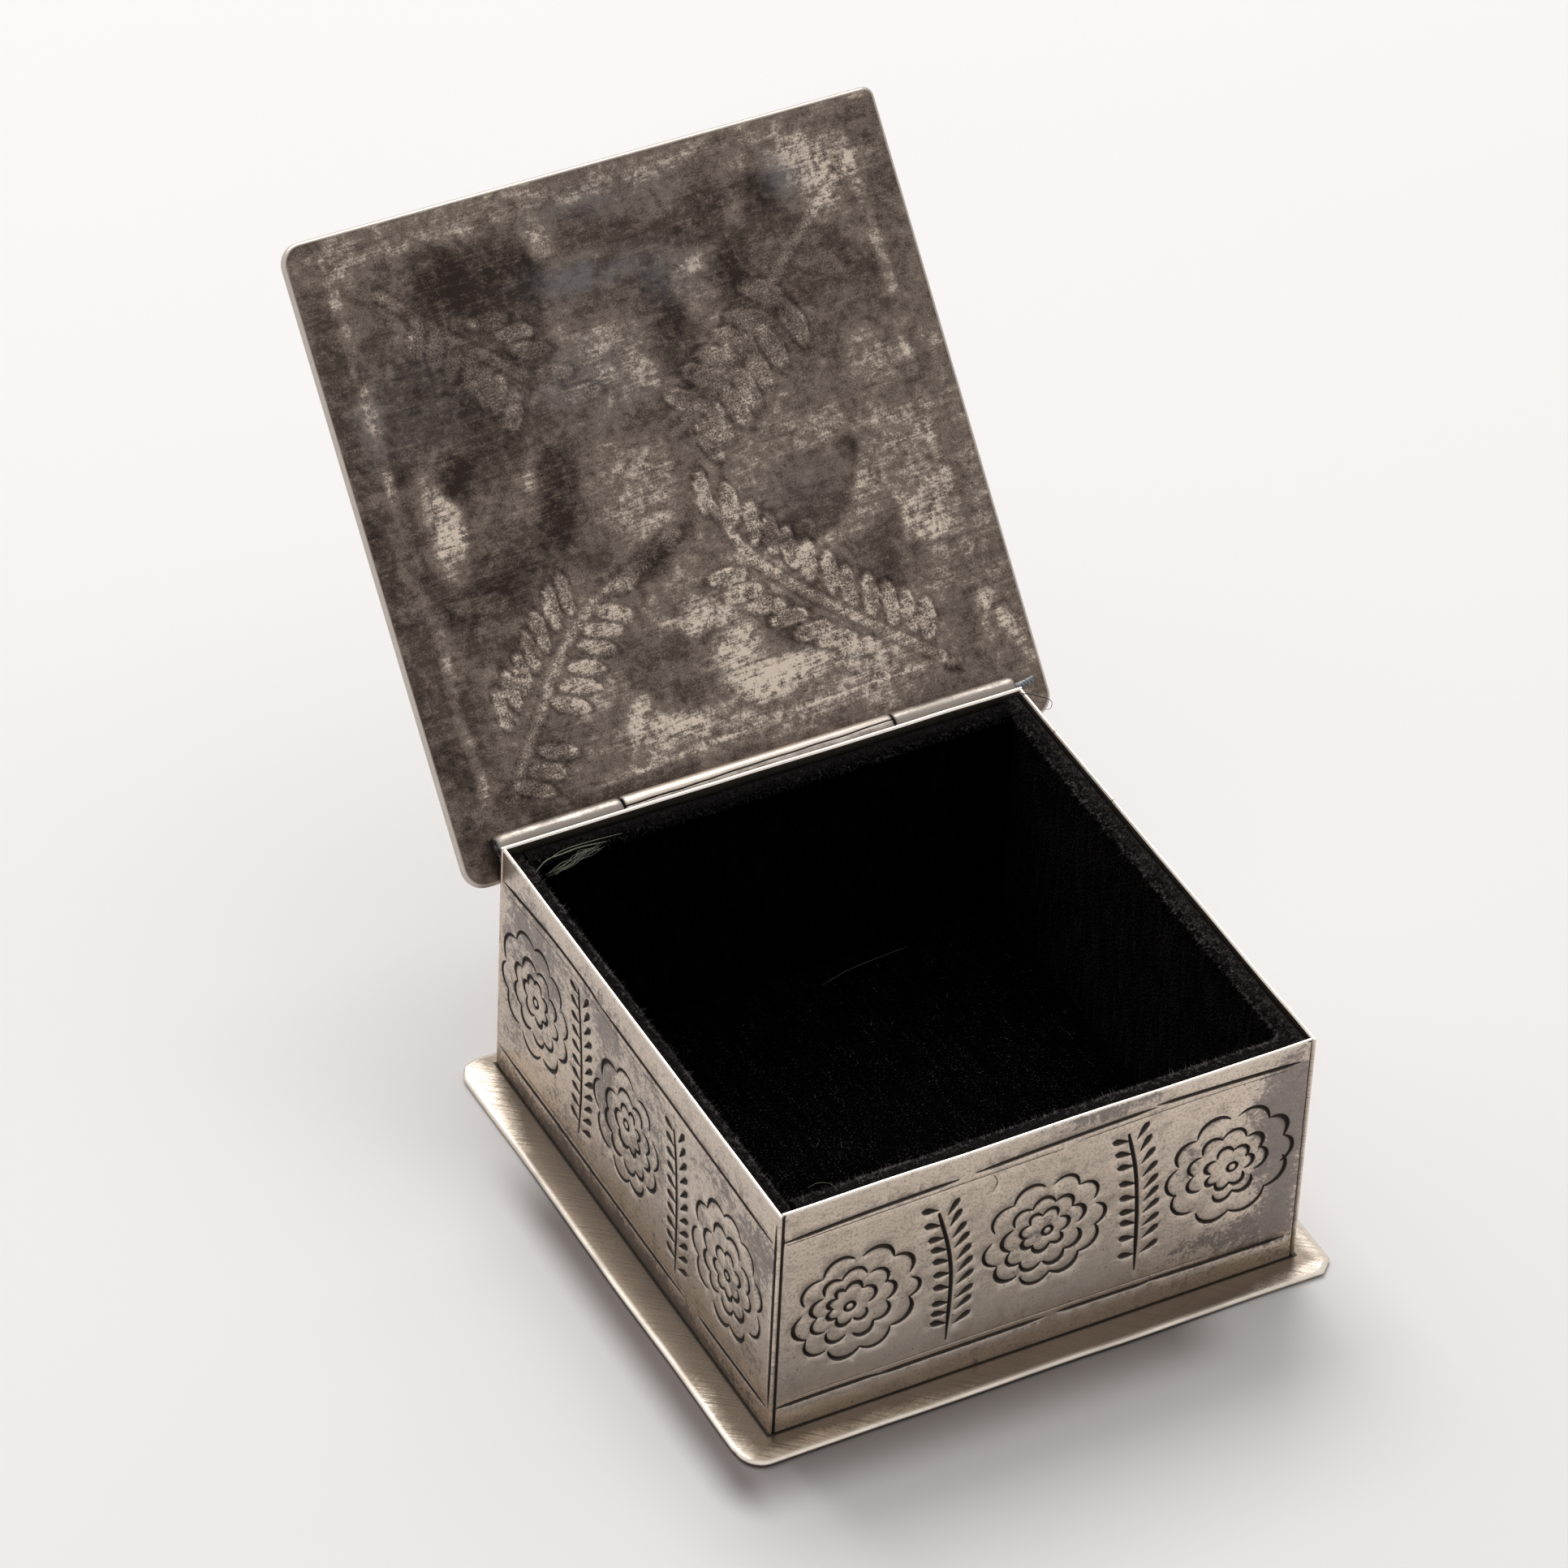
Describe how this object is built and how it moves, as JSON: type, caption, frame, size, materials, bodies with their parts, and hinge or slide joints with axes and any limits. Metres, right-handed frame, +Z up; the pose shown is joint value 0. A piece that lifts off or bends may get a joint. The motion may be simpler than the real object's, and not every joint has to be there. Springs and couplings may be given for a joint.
{
  "type": "keepsake box",
  "caption": "Square hinged keepsake box of stamped silver sheet on a wider base plate, with a flat overhanging lid on a knuckle hinge and a black velvet lining.",
  "frame": {"origin": "centre of the side walls' footprint, on the underside of the base plate", "axes": "+Z up, the front wall faces -Y, the hinge runs along X at the rear"},
  "size_m": [0.0868, 0.1388, 0.0956],
  "materials": {
    "stamped_silver": "worn warm silver with dark stamped lines and tarnish",
    "brushed_silver": "filed and brushed silver",
    "hinge_silver": "satin silver tube",
    "tarnished_silver": "brown and grey tarnished silver with pale rubbed patches",
    "steel": "dull grey wire",
    "card": "plain grey card",
    "velvet": "black short-pile velvet"
  },
  "bodies": {
    "box": {"base_plate": "brushed_silver", "front_wall": "stamped_silver", "rear_wall": "stamped_silver", "left_wall": "stamped_silver", "right_wall": "stamped_silver", "hinge_knuckle_left": "hinge_silver", "hinge_knuckle_right": "hinge_silver", "hinge_pin": "steel", "floor_card": "card", "front_card": "card", "rear_card": "card", "left_card": "card", "right_card": "card", "floor_velvet": "velvet", "front_velvet": "velvet", "rear_velvet": "velvet", "left_velvet": "velvet", "right_velvet": "velvet"},
    "lid": {"lid_plate": "tarnished_silver", "hinge_knuckle_centre": "hinge_silver"}
  },
  "joints": [
    {"name": "lid_hinge", "type": "hinge", "parent": "box", "child": "lid", "pos_m": [0, 0.04035, 0.03655], "axis": [-1, 0, 0], "range_deg": [-132, 0]}
  ]
}
